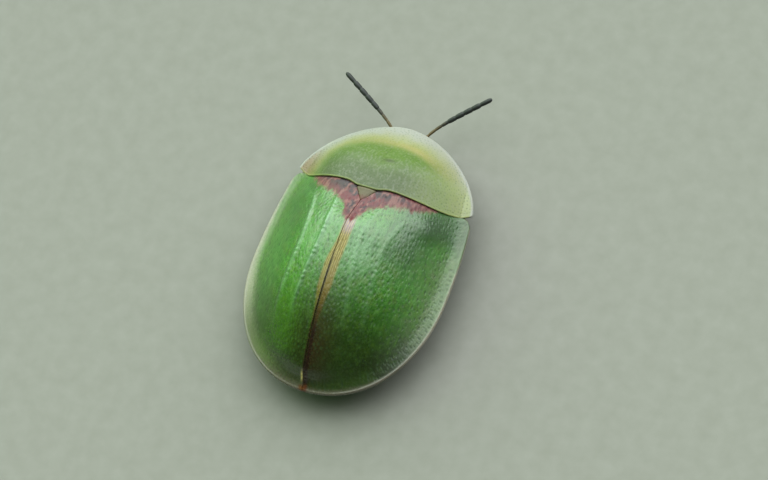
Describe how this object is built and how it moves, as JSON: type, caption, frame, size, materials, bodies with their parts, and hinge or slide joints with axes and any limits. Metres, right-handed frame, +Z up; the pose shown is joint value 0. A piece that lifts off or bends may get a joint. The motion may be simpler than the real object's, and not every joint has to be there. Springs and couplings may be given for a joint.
{
  "type": "green tortoise beetle, life-size still model",
  "caption": "Small domed green beetle with a shield-like shell spread beyond its body, standing on short legs under the rim with both feelers held forward.",
  "frame": {"origin": "on the floor, under the middle of the whole object's box, feelers included", "axes": "-Y the way the head faces, +Y towards the tail, +X to the beetle's own left, +Z up"},
  "size_m": [0.0052, 0.009, 0.0026],
  "materials": {
    "elytra": "satin punctured cuticle, leaf green with a red-brown base band and a golden seam",
    "pronotum": "satin finely punctured cuticle, yellow-green with a paler border",
    "scutellum": "satin olive-brown cuticle",
    "underside": "satin black cuticle with a pale green border on the abdomen",
    "head": "satin dark cuticle",
    "eyes": "glossy black facets",
    "mouthparts": "satin brown cuticle",
    "antennae": "fine grey down over black, yellow towards the base",
    "femora": "satin, black at the base and green-yellow towards the knee",
    "tibiae": "satin yellow-green",
    "tarsi": "yellow-brown with soft pads"
  },
  "bodies": {
    "root": {"abdomen": "underside", "antenna_left": "antennae", "antenna_right": "antennae", "elytron_left": "elytra", "elytron_right": "elytra", "eye_left": "eyes", "eye_right": "eyes", "femur_front_left": "femora", "femur_front_right": "femora", "femur_hind_left": "femora", "femur_hind_right": "femora", "femur_middle_left": "femora", "femur_middle_right": "femora", "head": "head", "mouthparts": "mouthparts", "pronotum": "pronotum", "prothorax": "underside", "scutellum": "scutellum", "tarsus_front_left": "tarsi", "tarsus_front_right": "tarsi", "tarsus_hind_left": "tarsi", "tarsus_hind_right": "tarsi", "tarsus_middle_left": "tarsi", "tarsus_middle_right": "tarsi", "thorax": "underside", "tibia_front_left": "tibiae", "tibia_front_right": "tibiae", "tibia_hind_left": "tibiae", "tibia_hind_right": "tibiae", "tibia_middle_left": "tibiae", "tibia_middle_right": "tibiae"}
  },
  "joints": []
}
